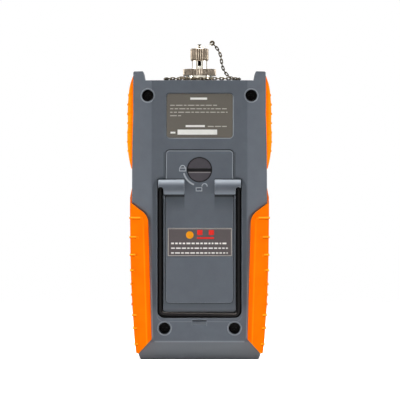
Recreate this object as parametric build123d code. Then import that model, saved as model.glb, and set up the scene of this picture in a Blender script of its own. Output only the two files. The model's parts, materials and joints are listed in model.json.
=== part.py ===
from build123d import *
import os
from math import atan2, cos, degrees, pi, sin, sqrt

os.makedirs("parts", exist_ok=True)

# X runs to the right as seen from the back, Y from the back to the front, Z up.
# The meter stands on its lower end, and the origin is the centre of that face.

# Clearances and walls
fit = 0.2
running = 0.05
back_wall = 2.2
side_wall = 3.8
bevel_wall = 3.5
floor_wall = 2.6
panel_wall = 2.2
far = 60.0

# Cells, their bay and their contacts
cell_r = 7.1
cell_length = 50.5
cell_nub_r = 2.75
cell_nub = 1.3
cell_apart = 3.0
cell_side_room = 0.7
contact_thick = 0.4
contact_room = 5.0
bay_wall = 1.7
cell_x = cell_r + cell_apart / 2
bay_half = cell_x + cell_r + cell_side_room

# Depth: what lies between the back and the front adds up to it
door_thick = 2.3
cell_room = 1.0
board_gap = 2.3
board_thick = 1.6
module_thick = 5.6
view_gap = 3.3
window_thick = 1.0
inner_depth = 2 * cell_r + cell_room + bay_wall + board_gap + board_thick + module_thick
half_depth = (door_thick + inner_depth + view_gap + window_thick) / 2
door_y = door_thick - half_depth
bay_floor = door_y + 2 * cell_r + cell_room
board_y = bay_floor + bay_wall + board_gap
board_front = board_y + board_thick
module_front = board_front + module_thick

# Tilt bail
wire_r = 1.3
wire_side_room = 0.5
wire_out_room = 0.6
wire_sunk = 0.2
wire_bend = 2.6
bail_rise = 2.35
bail_skew = 0.9
pin_long = 12.9
hinge_y = wire_sunk + wire_r - half_depth

# Width: cells, door, groove and bevel, from the middle outwards
door_ledge = 4.1
platform_ledge = 1.4
groove_wall = 1.8
flat_margin = 3.3
bevel_width = 12.2
door_half = bay_half + door_ledge
groove_in = door_half + platform_ledge
leg_x = groove_in + wire_side_room + wire_r
groove_out = leg_x + wire_r + wire_out_room
pad_half = groove_out + groove_wall
crease_x = groove_out + flat_margin
waist_x = crease_x + bevel_width
belly_x = waist_x - 1.0
toe_x = waist_x - 4.6
foot_half = toe_x - 1.2
floor_half = foot_half - 3.3
ear_thick = 6.2
ear_draft = 1.1
ear_outer = waist_x - 0.8
ear_inner = ear_outer - ear_thick
ear_root = ear_inner - ear_draft

# Heights: screws, groove, door and plate, from the foot to the ears
screw_low_z = 19.1
groove_rise = 6.2
groove_wide = 3.9
door_rise = 5.0
bay_rise = 3.3
hinge_rise = 11.65
lock_rise = 10.55
door_top_rise = 11.8
plate_rise = 7.4
upper_plate_tall = 27.0
panel_rise = 8.0
ear_high = 5.6
groove_low = screw_low_z + groove_rise
platform_low = groove_low + groove_wide
door_low = platform_low + door_rise
bay_low = door_low + bay_rise
bay_high = bay_low + cell_length + contact_room
hinge_z = bay_high + hinge_rise
lock_z = hinge_z + lock_rise
door_high = lock_z + door_top_rise
upper_plate_low = door_high + plate_rise
upper_plate_high = upper_plate_low + upper_plate_tall
panel_top = upper_plate_high + panel_rise
ear_top = panel_top + ear_high

# Housing: curves of its outline, bevels of its foot and ears
toe_z = 3.3
belly_z = 51.0
waist_z = bay_high + 7.0
shoulder_drop = 19.4
shoulder_z = panel_top - shoulder_drop
bevel_slope = 0.49
foot_bevel = 4.6
foot_depth = half_depth - foot_bevel
foot_crease_z = 11.0
ear_bevel = 1.6

# Soft grips: the bumper hangs from the ear, the lower grip ends below it
grip_proud = 1.2
grip_sunk = 1.6
grip_half_y = 8.6
bumper_drop = 2.6
bumper_long = 56.4
bumper_bulge = 3.6
bumper_high_z = ear_top - bumper_drop
bumper_low_z = bumper_high_z - bumper_long
bumper_mid_z = bumper_low_z + 26.0
bumper_in_x = ear_outer - 3.3
grip_apart = 11.5
sliver_long = 8.9
sweep_long = 13.6
sweep_drop = 0.6
grip_corner_r = 9.0
grip_sliver_z = bumper_low_z - grip_apart
grip_side_z = grip_sliver_z - sliver_long
grip_turn_z = grip_side_z - sweep_long
grip_edge_low = crease_x - 0.1
grip_edge_high = crease_x + 2.2
grip_low_z = 12.4
grip_tip = (toe_x - 0.3, toe_z + 0.4)
grip_in_x = waist_x - 3.1
grip_out_x = waist_x + 4.9
rib_height = 0.5
rib_width = 1.1
lower_rib_share = [1.05, 0.9, 0.762, 0.642, 0.535, 0.453, 0.378, 0.294, 0.193, 0.069]
lower_rib_long = [7.0, 4.5, 3.6, 2.7]
lower_rib_short = 1.6
upper_rib_rise = 10.7
upper_rib_pitch = 5.7
upper_ribs = 7

# Battery door: lock, cam and barrels
door_corner = 2.5
lock_r = 7.4
lock_head = 2.3
lock_web = 1.6
lock_boss_wall = 2.0
lock_boss_r = lock_r + lock_boss_wall
lock_slot = 1.8
lock_slot_deep = 1.3
lock_shaft_r = 3.0
cam_thick = 1.4
cam_long = 9.6
cam_wide = 7.0
barrel_r = 4.8
barrel_root_y = hinge_y + 3.0
pin_end = leg_x - pin_long
barrel_in = pin_end - 1.6
barrel_out = leg_x + 1.4
socket_r = wire_r + 2.1
socket_in = door_half + fit
slot_r = wire_r + 0.5
slot_x = leg_x - 0.1
slot_top = hinge_z + 0.05
mark_deep = 0.18

# Groove, platform and finger notch on the rear half
groove_deep = wire_sunk + 2 * wire_r + 0.4
groove_corner = 4.2
platform_corner = 1.5
bail_left_z = groove_low + bail_rise
bail_right_z = bail_left_z - bail_skew
pad_low = groove_low - 3.8
pad_high = door_high + 4.0
pad_y = 6.3 - half_depth
notch_half = 4.4
notch_drop = 1.3
notch_deep = 1.5
notch_tall = 3.8
tab_low = hinge_z - 6.85
tab_tall = 1.6

# Cam bay behind the lock
cam_room = max(cam_long, lock_boss_r + fit) + fit
cam_bay_low = lock_z - cam_room - 0.4
cam_bay_high = lock_z + cam_room
cam_bay_half = cam_room + 4.2
cam_bay_floor = 6.9 - half_depth

# Plates
upper_plate_x = 0.1
upper_plate_w = 40.0
lower_plate_x = 0.2
lower_plate_w = 2 * door_half - 2.0
lower_plate_rise = 28.4
lower_plate_tall = 17.3
lower_plate_low = door_low + lower_plate_rise
lower_plate_high = lower_plate_low + lower_plate_tall
plate_thick = 0.4
plate_pocket = 0.5
plate_gap = 0.35

# Screws: upper and lower positions
screw_up = (waist_x - 9.7, panel_top - 9.2)
screw_low = (groove_out - 4.4, screw_low_z)
screw_hole_r = 3.55
screw_rim_r = screw_hole_r + 0.8
screw_rim_proud = 0.25
screw_seat_y = -2.0
screw_head_r = screw_hole_r - 0.8
screw_head_high = 2.0
screw_shaft_r = 1.5
screw_tip_y = 11.0
tube_wall = 1.5

# Port shank inside the housing, and the board below it
washer_r = 8.8
washer_thick = 0.5
shank_r = 6.0
shank_long = 11.4
shank_low = panel_top - shank_long
board_half = crease_x + 1.1
board_low = screw_low_z + 6.9
board_high = shank_low - 8.0
board_post_x = board_half - 4.5
board_post_z = (board_low + 5.0, board_high - 3.0)
board_post_r = 3.2

# Front: window, display module and keys, from the board's top down
window_half = crease_x - 1.9
window_tall = 37.0
window_corner = 3.0
window_high = board_high - 5.5
window_low = window_high - window_tall
view_inset = 2.6
module_half = window_half - 3.0
module_low = window_low - 1.5
module_high = window_high - 1.5
key_w = 12.4
key_h = 8.0
key_x = key_w + 4.6
key_rows = 22.0
key_high_z = window_low - 23.5
key_low_z = key_high_z - key_rows
key_proud = 0.8
key_travel = 1.0
key_flange = 1.1
mat_thick = 1.0
mat_margin = 12.0

# Charging socket on the top panel
socket_x = -22.0
socket_y = 8.2
socket_half = 3.9
socket_half_y = 1.5
socket_deep = 5.2
shell_wall = 0.4

# Port on the top panel, from the washer up to the rivet
base_r = 8.5
base_high = 2.9
port_bore = 2.9
ring_r = 10.1
ring_high = 4.0
ring_lip = 0.8
ring_teeth = 64
spigot_r = 7.0
flange_thick = 0.5
barrel_flange_r = spigot_r - 0.4
barrel_port_r = 4.65
barrel_long = 11.0
key_slot_w = 2.0
key_slot_long = 9.1
ferrule_r = 1.25
sleeve_r = ferrule_r + 0.4
cap_wall = 0.9
cap_r = barrel_port_r + cap_wall
cap_long = 7.6
cap_gap = 0.5
cap_end = 1.2
cap_teeth = 30
stem_r = 0.75
stem_long = 1.9
rivet_r = 1.1
rivet_thick = 0.7
washer_top = panel_top + washer_thick
base_top = washer_top + base_high
ring_top = base_top + ring_high
flange_top = ring_top - ring_lip
spigot_top = flange_top - flange_thick
barrel_port_top = ring_top + barrel_long
cap_high = barrel_port_top + cap_gap + cap_end
cap_low = cap_high - cap_long
stem_high = cap_high + stem_long
rivet_high = stem_high + rivet_thick

# Strap, jump ring and chain
strap_gap = 0.9
strap_thick = 0.5
strap_half = 0.8
strap_turn_x = 2.4
strap_end_r = 0.95
strap_hole_r = 0.55
strap_low = cap_high + strap_gap
ring_x = 7.8
ring_rise = 2.5
ring_z = strap_low + ring_rise
ring_major = 1.35
ring_wire_r = 0.25
link_wire = 0.55
link_pitch = 2.17
link_slack = 0.18
link_hole_w = 1.2
link_lift = 0.07
link_wide = link_hole_w + 2 * link_wire
link_rest_z = panel_top + link_wide / 2 + link_lift
run_y = -base_r - 2.6
tab_x = -ring_r - 0.8
tab_thick = 0.5


def both_sides(half):
    """A left and a right copy of a solid drawn on the right."""
    return half + mirror(half, about=Plane.YZ)


def block(x0, x1, y0, y1, z0, z1):
    """A box from its lowest to its highest corner."""
    sides = Box(x1 - x0, y1 - y0, z1 - z0)
    return Pos((x0 + x1) / 2, (y0 + y1) / 2, (z0 + z1) / 2) * sides


def along_y(face, y0, y1):
    """A face drawn in X and Z, extruded from y0 to y1."""
    return extrude(Plane.XZ.offset(-y1) * face, y1 - y0)


def along_x(face, x0, x1):
    """A face drawn in Y and Z, extruded from x0 to x1."""
    return extrude(Plane.YZ.offset(x0) * face, x1 - x0)


def post(radius, x, z, y0, y1):
    """A round bar along Y."""
    return along_y(Pos(x, z) * Circle(radius), y0, y1)


def pin(radius, z0, z1, x=0.0, y=0.0):
    """A round bar along Z."""
    return Pos(x, y, z0) * extrude(Circle(radius), z1 - z0)


def rounded(x, width, z0, z1, corner):
    """A rounded rectangle in X and Z."""
    return Pos(x, (z0 + z1) / 2) * RectangleRounded(width, z1 - z0, corner)


def outline(grow):
    """The housing seen from the back, grown outwards by a distance."""
    right = [
        Line((0, 0), (foot_half, 0)),
        Line((foot_half, 0), (toe_x, toe_z)),
        ThreePointArc((toe_x, toe_z), (belly_x, belly_z), (waist_x, waist_z)),
        ThreePointArc(
            (waist_x, waist_z), (waist_x - 0.2, waist_z + 25), (ear_outer, shoulder_z)
        ),
        Line((ear_outer, shoulder_z), (ear_outer, ear_top)),
        Line((ear_outer, ear_top), (ear_inner, ear_top)),
        Line((ear_inner, ear_top), (ear_root, panel_top)),
        Line((ear_root, panel_top), (0, panel_top)),
        Line((0, panel_top), (0, 0)),
    ]
    half = make_face(Curve() + right)
    whole = half + mirror(half, about=Plane.YZ)
    if grow:
        return offset(whole, amount=grow, kind=Kind.INTERSECTION)
    corners = whole.vertices().filter_by(lambda v: v.Y > panel_top + 1)
    whole = fillet(corners, 1.0)
    toes = whole.vertices().filter_by(lambda v: v.Y < toe_z + 1)
    return fillet(toes, 0.8)


def section(flat_in, bevel_in, reach):
    """The housing cut level: a flat back and front joined by bevels to the sides."""
    drop = bevel_in * sqrt(1 + bevel_slope**2)
    flat_y = half_depth - flat_in
    turn_x = crease_x + (flat_in - drop) / bevel_slope
    side_y = half_depth - drop - (reach - crease_x) * bevel_slope
    right = [(turn_x, -flat_y), (reach, -side_y), (reach, side_y), (turn_x, flat_y)]
    left = [(-x, y) for x, y in reversed(right)]
    return Polygon(right + left, align=None)


def profile(inset):
    """The housing seen from the side, with its lower bevels."""
    front = [
        (foot_depth, 0),
        (half_depth, foot_crease_z),
        (half_depth, ear_top - ear_bevel),
        (half_depth - ear_bevel, ear_top),
    ]
    back = [(-y, z) for y, z in reversed(front)]
    shape = Polygon(front + back, align=None)
    return offset(shape, amount=-inset, kind=Kind.INTERSECTION) if inset else shape


def form(grow=0.0):
    """The housing block, grown outwards, as three prisms cut against each other."""
    level = section(-grow, -grow, far)
    side = profile(-grow)
    if not grow:
        level = fillet(level.vertices().filter_by(lambda v: abs(v.X) < far - 1), 1.5)
        low = side.vertices().filter_by(lambda v: 1 < v.Y < 2 * foot_crease_z)
        side = fillet(low, 2.0)
    tall = Pos(0, 0, -far) * extrude(level, ear_top + 2 * far)
    return along_y(outline(grow), -far, far) & tall & along_x(side, -far, far)


def knurled(radius, low, high, teeth, depth, x=0.0):
    """A ring of straight knurls, as a toothed prism."""
    points = []
    for i in range(2 * teeth):
        r = radius - depth * (i % 2)
        points.append((r * cos(pi * i / teeth), r * sin(pi * i / teeth)))
    return Pos(x, 0, low) * extrude(Polygon(points, align=None), high - low)


# Solid block of the housing, and the smaller one that the grips lie against
whole = form()
core = form(-grip_sunk)
skin = form(grip_proud)
rib_skin = form(grip_proud + rib_height)

# Footprint of a lower grip: over the bevel, and a little higher round the side
grip_corner = (grip_edge_high, grip_turn_z + sweep_long * 0.38)
wrap = Polygon(
    [
        (grip_out_x, grip_tip[1]),
        (grip_out_x, grip_side_z - sweep_drop),
        (waist_x + 0.5, grip_side_z - sweep_drop),
        grip_corner,
        (grip_edge_low, grip_low_z),
        grip_tip,
    ],
    align=None,
)
wrap = fillet(wrap.vertices().sort_by_distance((*grip_corner, 0))[0], grip_corner_r)
sliver = Polygon(
    [
        (grip_in_x, grip_side_z - 7.6),
        (grip_out_x, grip_side_z - 7.6),
        (grip_out_x, grip_side_z + 1.9),
        (waist_x + grip_proud, grip_side_z + 2.9),
        (waist_x, grip_sliver_z),
        (grip_in_x, grip_sliver_z),
    ],
    align=None,
)
lower_foot = along_y(wrap, -far, far) + along_y(sliver, -grip_half_y, grip_half_y)
lower_grip = (skin & lower_foot) - core
for i, share in enumerate(lower_rib_share):
    z = grip_tip[1] + share * (grip_turn_z - grip_tip[1])
    reach = lower_rib_long[i] if i < len(lower_rib_long) else lower_rib_short
    edge = belly_x + 1.5 if z > 30 else belly_x - 0.8
    strip = block(
        edge - reach, grip_out_x, -far, far, z - rib_width / 2, z + rib_width / 2
    )
    lower_grip += (rib_skin & strip & lower_foot) - core

# Footprint and bulge of an upper bumper, on the side wall only
upper_foot = block(
    bumper_in_x, grip_out_x, -grip_half_y, grip_half_y, bumper_low_z, bumper_high_z
)


def bulge(grow):
    """The bumper's bulge, a lens seen from the back and crowned seen from above."""
    reach = ear_outer + bumper_bulge + grow
    tall = make_face(
        Curve()
        + [
            ThreePointArc(
                (waist_x, bumper_low_z),
                (reach, bumper_mid_z),
                (ear_outer, bumper_high_z),
            ),
            Line((ear_outer, bumper_high_z), (bumper_in_x, bumper_high_z)),
            Line((bumper_in_x, bumper_high_z), (bumper_in_x, bumper_low_z)),
            Line((bumper_in_x, bumper_low_z), (waist_x, bumper_low_z)),
        ]
    )
    level = make_face(
        Curve()
        + [
            ThreePointArc(
                (ear_outer, -grip_half_y),
                (reach, 0),
                (ear_outer, grip_half_y),
            ),
            Line((ear_outer, grip_half_y), (bumper_in_x, grip_half_y)),
            Line((bumper_in_x, grip_half_y), (bumper_in_x, -grip_half_y)),
            Line((bumper_in_x, -grip_half_y), (ear_outer, -grip_half_y)),
        ]
    )
    return along_y(tall, -far, far) & extrude(level, ear_top + far)


upper_grip = (bulge(0) & upper_foot) - core
for i in range(upper_ribs):
    z = bumper_low_z + upper_rib_rise + i * upper_rib_pitch
    strip = block(
        bumper_in_x, grip_out_x, -far, far, z - rib_width / 2, z + rib_width / 2
    )
    upper_grip += (bulge(rib_height) & strip & upper_foot) - core

# Cavity and the two housing halves
room = (
    along_y(
        Polygon(
            [
                (-floor_half, floor_wall),
                (floor_half, floor_wall),
                (belly_x - side_wall, belly_z),
                (waist_x - side_wall, waist_z),
                (ear_outer - side_wall, shoulder_z),
                (ear_outer - side_wall, panel_top - panel_wall),
                (side_wall - ear_outer, panel_top - panel_wall),
                (side_wall - ear_outer, shoulder_z),
                (side_wall - waist_x, waist_z),
                (side_wall - belly_x, belly_z),
            ],
            align=None,
        ),
        -far,
        far,
    )
    & extrude(section(back_wall, bevel_wall, far), ear_top + far)
    & along_x(profile(back_wall), -far, far)
)
recess = both_sides(lower_foot - core) + both_sides(upper_foot - core)
shell = whole - room - recess
rear = shell & block(-far, far, -far, 0, -far, ear_top + far)
front = shell & block(-far, far, 0, far, -far, ear_top + far)

# Rear half: pad behind the groove, battery bay, screw tubes
inside = -half_depth + back_wall - 0.1
rear += block(-pad_half, pad_half, inside, pad_y, pad_low, pad_high)
bay_out = bay_half + bay_wall
rear += block(
    -bay_out,
    bay_out,
    inside,
    bay_floor + bay_wall,
    bay_low - bay_wall,
    bay_high + bay_wall,
)
rear += block(
    -cam_bay_half - bay_wall,
    cam_bay_half + bay_wall,
    inside,
    cam_bay_floor + bay_wall,
    cam_bay_low - bay_wall,
    cam_bay_high + bay_wall,
)
screw_spots = [
    (side * spot[0], spot[1]) for spot in (screw_up, screw_low) for side in (-1, 1)
]
tube_r = screw_hole_r + tube_wall
for x, z in screw_spots:
    tube = post(tube_r, x, z, -far, 0) & whole
    rim = post(screw_rim_r, x, z, -far, screw_seat_y) & form(screw_rim_proud)
    rear += tube + rim
    rear -= post(screw_hole_r, x, z, -far, screw_seat_y)
    rear -= post(screw_shaft_r + fit, x, z, -far, 0.5)

# Rear half: door opening, bays, groove, barrel pockets
rear -= along_y(
    rounded(
        0, 2 * door_half + 2 * fit, door_low - fit, door_high + fit, door_corner + fit
    ),
    -far,
    door_y,
)
rear -= block(-bay_half, bay_half, -far, bay_floor, bay_low, bay_high)
rear -= block(
    -cam_bay_half, cam_bay_half, -far, cam_bay_floor, cam_bay_low, cam_bay_high
)
groove_floor = -half_depth + groove_deep
rear -= along_y(
    rounded(0, 2 * groove_out, groove_low, hinge_z + far, groove_corner)
    - rounded(0, 2 * groove_in, platform_low, hinge_z + far, platform_corner)
    - Pos(0, hinge_z + far) * Rectangle(2 * far, 2 * far),
    -far,
    groove_floor,
)
rear -= both_sides(
    block(
        barrel_in - 0.5,
        groove_out,
        -far,
        barrel_root_y + 0.3,
        hinge_z - barrel_r - 0.4,
        hinge_z + barrel_r + 0.4,
    )
)
notch_high = groove_low - notch_drop
scoop = Polygon(
    [
        (-half_depth - notch_deep, notch_high - 2 * notch_tall),
        (-half_depth + notch_deep, notch_high),
        (-half_depth - notch_deep, notch_high),
    ],
    align=None,
)
rear -= along_x(scoop, -notch_half, notch_half)
rear += both_sides(
    block(
        door_half + fit,
        groove_in,
        -half_depth - 0.9,
        -half_depth + 0.5,
        tab_low,
        tab_low + tab_tall,
    )
)
rear -= along_y(
    rounded(upper_plate_x, upper_plate_w + 0.3, upper_plate_low, upper_plate_high, 2.1),
    -far,
    plate_pocket - half_depth,
)
rear += block(-0.8, 0.8, -4.0, bay_floor + 0.1, bay_low + 8, bay_high - 8)

# Port hole through the top wall, shared by both halves
hole = pin(shank_r + 0.1, shank_low, ear_top)
rear -= hole
front -= hole

# Front half: screw posts, board posts, display opening, key holes
front_in = half_depth - back_wall
for x, z in screw_spots:
    front += post(screw_hole_r + 0.6, x, z, 0, half_depth) & whole
    front -= post(screw_shaft_r + 0.02, x, z, -1, screw_tip_y + 0.5)
post_spots = [(side * board_post_x, z) for z in board_post_z for side in (-1, 1)]
for x, z in post_spots:
    front += post(board_post_r, x, z, board_front, front_in + 0.1)
    front -= post(1.02, x, z, board_front - 1, board_front + 4.5)
front -= along_y(
    rounded(
        0,
        2 * window_half + 0.3,
        window_low - 0.15,
        window_high + 0.15,
        window_corner + 0.15,
    ),
    half_depth - window_thick,
    far,
)
front -= along_y(
    rounded(
        0,
        2 * (window_half - view_inset),
        window_low + view_inset,
        window_high - view_inset,
        1.5,
    ),
    module_front - 2,
    far,
)
key_spots = [(column * key_x, z) for z in (key_high_z, key_low_z) for column in (-1, 0, 1)]
for x, z in key_spots:
    hole = rounded(
        x, key_w + 0.5, z - key_h / 2 - 0.25, z + key_h / 2 + 0.25, key_h / 2 + 0.15
    )
    front -= along_y(hole, board_front + mat_thick, far)

# Charging socket: a small metal shell in a slot of the front half's top wall


def socket_block(grow, z0, z1):
    """A box round the socket's middle, grown sideways by a distance."""
    half_x = socket_half + grow
    half_y = socket_half_y + grow
    return block(
        socket_x - half_x, socket_x + half_x, socket_y - half_y, socket_y + half_y, z0, z1
    )


shell_low = panel_top - socket_deep
front -= socket_block(0.1, shell_low - 4, ear_top)
socket = socket_block(0, shell_low, panel_top + 0.1)
socket -= socket_block(-shell_wall, shell_low + 0.7, ear_top)
tongue_in = socket_half_y - 0.3
socket += socket_block(-tongue_in, shell_low + 0.6, panel_top - 0.8)

# Battery door: plate, hinge barrels, lock boss, relief marks
door = along_y(
    rounded(0, 2 * door_half, door_low, door_high, door_corner), -half_depth, door_y
)
rim = door.faces().sort_by(Axis.Y)[0].edges()
door = chamfer(rim, 0.3)
low_y = -half_depth + lock_head
door += post(lock_boss_r, 0, lock_z, door_y - 0.2, low_y + lock_web)
tube = along_x(Pos(hinge_y, hinge_z) * Circle(barrel_r), barrel_in, barrel_out)
tube = chamfer(tube.edges(), 0.3)
tube &= block(0, far, -far, barrel_root_y, bay_low, door_high)
tube += block(
    barrel_in + 0.3,
    barrel_out - 0.3,
    hinge_y,
    barrel_root_y,
    hinge_z - barrel_r,
    hinge_z + barrel_r,
)
tube -= along_x(
    Pos(hinge_y, hinge_z) * Circle(wire_r + running), pin_end - 0.4, socket_in + 0.1
)
tube -= along_x(Pos(hinge_y, hinge_z) * Circle(socket_r), socket_in, barrel_out + 1)
arch = Pos(slot_x, slot_top - slot_r) * Circle(slot_r)
arch += Pos(slot_x + 2, slot_top - slot_r - 10) * Rectangle(2 * slot_r + 4, 20)
tube -= along_y(arch, -far, 0)
door += both_sides(tube)
door -= both_sides(
    along_x(
        Pos(hinge_y, hinge_z) * Circle(wire_r + running), pin_end - 0.4, door_half + 1
    )
)
door -= post(lock_r + 0.08, 0, lock_z, -far, low_y)
door -= post(lock_shaft_r + running, 0, lock_z, -far, 0)
door -= along_y(
    rounded(lower_plate_x, lower_plate_w + 0.3, lower_plate_low, lower_plate_high, 1.0),
    -far,
    plate_gap - half_depth,
)


def frame(x, z, width, height, line):
    """A thin rectangular frame in X and Z."""
    return Pos(x, z) * (
        Rectangle(width, height) - Rectangle(width - 2 * line, height - 2 * line)
    )


def ring_part(x, z, radius, line, keep):
    """The part of a thin ring that a rectangle keeps."""
    return Pos(x, z) * (Circle(radius) - Circle(radius - line)) & keep


mark_x = -lock_r - 2.8
marks = [
    frame(mark_x, lock_z + 0.1, 4.2, 2.2, 0.45),
    ring_part(mark_x, lock_z + 1.0, 1.8, 0.5, Pos(mark_x, lock_z + 3.2) * Rectangle(6, 4)),
    frame(-0.3, hinge_z - 1.35, 3.9, 2.4, 0.45),
    ring_part(3.1, hinge_z + 0.55, 1.8, 0.5, Pos(3.1, hinge_z + 2.15) * Rectangle(6, 3.6)),
]
sweep_band = Pos(0, lock_z) * (Circle(lock_r + 2.7) - Circle(lock_r + 1.8))
wedge = Polygon(
    [(0, lock_z), (-14, lock_z - 3.2), (-14, lock_z - 14), (-5.2, lock_z - 14)],
    align=None,
)
marks.append(sweep_band & wedge)
for mark in marks:
    door += along_y(mark, -half_depth - mark_deep, -half_depth + 0.1)

# Door lock: coin knob, cam and screw
knob = post(lock_r, 0, lock_z, -half_depth, low_y)
knob = chamfer(knob.edges().sort_by(Axis.Y)[0], 0.3)
knob -= block(
    -far,
    far,
    -far,
    lock_slot_deep - half_depth,
    lock_z - lock_slot / 2,
    lock_z + lock_slot / 2,
)
web_y = low_y + lock_web
cam_y = web_y + 0.05
knob += post(lock_shaft_r, 0, lock_z, low_y - 0.2, web_y)
knob += block(-1.8, 1.8, web_y - 0.2, cam_y + cam_thick, lock_z - 1.8, lock_z + 1.8)
knob -= post(1.02, 0, lock_z, web_y - 1.4, 0)
cam = along_y(
    Pos(0, lock_z + cam_long / 2 - 1.5) * Rectangle(cam_wide, cam_long + 3)
    & Pos(0, lock_z) * Circle(cam_long),
    cam_y,
    cam_y + cam_thick,
)
cam -= block(-1.85, 1.85, -far, 0, lock_z - 1.85, lock_z + 1.85)
cam_screw = post(2.6, 0, lock_z, cam_y + cam_thick, cam_y + cam_thick + 0.9)
cam_screw += post(1.0, 0, lock_z, web_y - 1.2, cam_y + cam_thick + 0.2)

# Tilt bail: one bent wire, its lower bar a little askew
bend = FilletPolyline(
    (-pin_end, hinge_y, hinge_z),
    (-leg_x, hinge_y, hinge_z),
    (-leg_x, hinge_y, bail_left_z),
    (leg_x, hinge_y, bail_right_z),
    (leg_x, hinge_y, hinge_z),
    (pin_end, hinge_y, hinge_z),
    radius=wire_bend,
)
bail = sweep(Plane(bend @ 0, z_dir=bend % 0) * Circle(wire_r), path=bend)

# Plates
upper_plate = along_y(
    rounded(
        upper_plate_x, upper_plate_w, upper_plate_low + 0.15, upper_plate_high - 0.15, 2.0
    ),
    plate_pocket - plate_thick - half_depth,
    plate_pocket - half_depth,
)
lower_plate = along_y(
    rounded(
        lower_plate_x, lower_plate_w, lower_plate_low + 0.15, lower_plate_high - 0.15, 0.9
    ),
    -half_depth - 0.02,
    plate_gap - half_depth,
)

# Housing screws, identical, one node
screws = []
for x, z in screw_spots:
    top = screw_seat_y - screw_head_high
    screw = post(screw_head_r, x, z, top, screw_seat_y)
    for turn in (0, 90):
        slot = Box(3.2, 2.0, 0.8)
        screw -= Pos(x, top, z) * Rot(0, turn, 0) * slot
    screw += post(screw_shaft_r, x, z, screw_seat_y - 0.2, screw_tip_y)
    screws.append(screw)

# Battery cells, side by side and opposite ways up, and their contacts
contact_low = bay_low + contact_thick
contact_high = bay_high - contact_thick
cell_y = bay_floor - cell_r - 0.3
cell = pin(cell_r, 0, cell_length - cell_nub) + pin(cell_nub_r, 0, cell_length)
cells = [
    Pos(cell_x, cell_y, contact_high - 0.05 - cell_length) * cell,
    Pos(-cell_x, cell_y, contact_low + 0.05 + cell_length) * Rot(180, 0, 0) * cell,
]
tongue_high = bay_high - bay_low - 2 * contact_thick - cell_length - 0.1
tongue = Polygon(
    [
        (cell_y - 4.2, 0),
        (cell_y - 0.6, tongue_high),
        (cell_y + 0.6, tongue_high),
        (cell_y + 4.2, 0),
        (cell_y + 3.7, 0),
        (cell_y + 0.3, tongue_high - 0.4),
        (cell_y - 0.3, tongue_high - 0.4),
        (cell_y - 3.7, 0),
    ],
    align=None,
)
tongue = along_x(tongue, -2.5, 2.5)
contact_rear = cell_y - 5.5
contact_front = cell_y + 5.5
contact_out = bay_half - 1.4
contacts = [
    block(-contact_out, contact_out, contact_rear, contact_front, bay_low, contact_low)
    + Pos(cell_x, 0, contact_low) * tongue,
    block(-contact_out, -2, contact_rear, contact_front, contact_high, bay_high)
    + Pos(-cell_x, 2 * cell_y, contact_high) * Rot(180, 0, 0) * tongue,
    block(2, contact_out, contact_rear, contact_front, contact_high, bay_high),
]

# Main board with its screws, display module and window
board = block(-board_half, board_half, board_y, board_front, board_low, board_high)
board_screws = []
for x, z in post_spots:
    board -= post(1.2, x, z, 0, far)
    screw = post(2.0, x, z, board_y - 1.2, board_y)
    screw += post(1.0, x, z, board_y - 0.2, board_front + 4.0)
    board_screws.append(screw)
module = block(
    -module_half, module_half, board_front, module_front, module_low, module_high
)
window = along_y(
    rounded(0, 2 * window_half, window_low, window_high, window_corner),
    half_depth - window_thick,
    half_depth,
)

# Key mat with one dome behind each key, and the keys
mat_half = key_x + key_w / 2 + 3.8
mat = block(
    -mat_half,
    mat_half,
    board_front,
    board_front + mat_thick,
    key_low_z - mat_margin,
    key_high_z + mat_margin,
)
flange_back = front_in - 2.1
dome_high = flange_back - key_travel - 0.05 - board_front - mat_thick
for x, z in key_spots:
    dome = Pos(x, board_front + mat_thick + dome_high / 2, z) * Rot(-90, 0, 0)
    mat += dome * Cone(4.2, 2.6, dome_high)
key_names = ["unit", "wave", "store", "power", "zero", "light"]
for name, (x, z) in zip(key_names, key_spots):
    cap = along_y(
        rounded(x, key_w, z - key_h / 2, z + key_h / 2, key_h / 2 - 0.1),
        front_in - 0.3,
        half_depth + key_proud,
    )
    cap = fillet(cap.faces().sort_by(Axis.Y)[-1].edges(), 0.5)
    cap += along_y(
        rounded(
            x,
            key_w + 2 * key_flange,
            z - key_h / 2 - key_flange,
            z + key_h / 2 + key_flange,
            key_h / 2,
        ),
        flange_back,
        front_in - 0.1,
    )
    export_step(cap, "parts/key_" + name + ".step")

# Port on the top panel, from the washer up
anchor = pin(washer_r, panel_top, washer_top)
anchor += block(tab_x - 1.3, -washer_r + 1, -1.5, 1.5, panel_top, washer_top)
anchor += block(
    tab_x - 1.3, tab_x + 1.9, -tab_thick / 2, tab_thick / 2, panel_top, base_top - 0.2
)
anchor -= pin(shank_r + 0.1, shank_low, ear_top)
anchor -= post(0.65, tab_x, link_rest_z, -far, far)
base = pin(base_r, washer_top, base_top) + pin(shank_r, shank_low, washer_top)
base += pin(spigot_r, base_top, spigot_top)
base -= pin(port_bore, shank_low - 1, ring_top)
collar = knurled(ring_r, base_top, ring_top, ring_teeth, 0.35)
collar -= pin(spigot_r + running, panel_top, flange_top + running)
collar -= pin(barrel_port_r + 0.1, panel_top, cap_low)
port = pin(barrel_flange_r, spigot_top, flange_top)
port += pin(barrel_port_r, spigot_top, barrel_port_top)
well = pin(barrel_port_r - 1.05, ring_top + 1.1, ear_top + far)
port -= well - pin(sleeve_r + 0.7, ring_top, barrel_port_top - 2.0)
port -= pin(sleeve_r, panel_top, ear_top + far)
slot_low = barrel_port_top - key_slot_long
slot_in = 1.45 - barrel_port_r
port -= block(-key_slot_w / 2, key_slot_w / 2, -far, slot_in, slot_low, ear_top + far)
sleeve = pin(sleeve_r, spigot_top + 0.6, barrel_port_top - 2.4)
sleeve -= pin(ferrule_r, panel_top, ear_top + far)
diode = pin(port_bore - 0.08, panel_top - 3.4, panel_top + 1.6)
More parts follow.
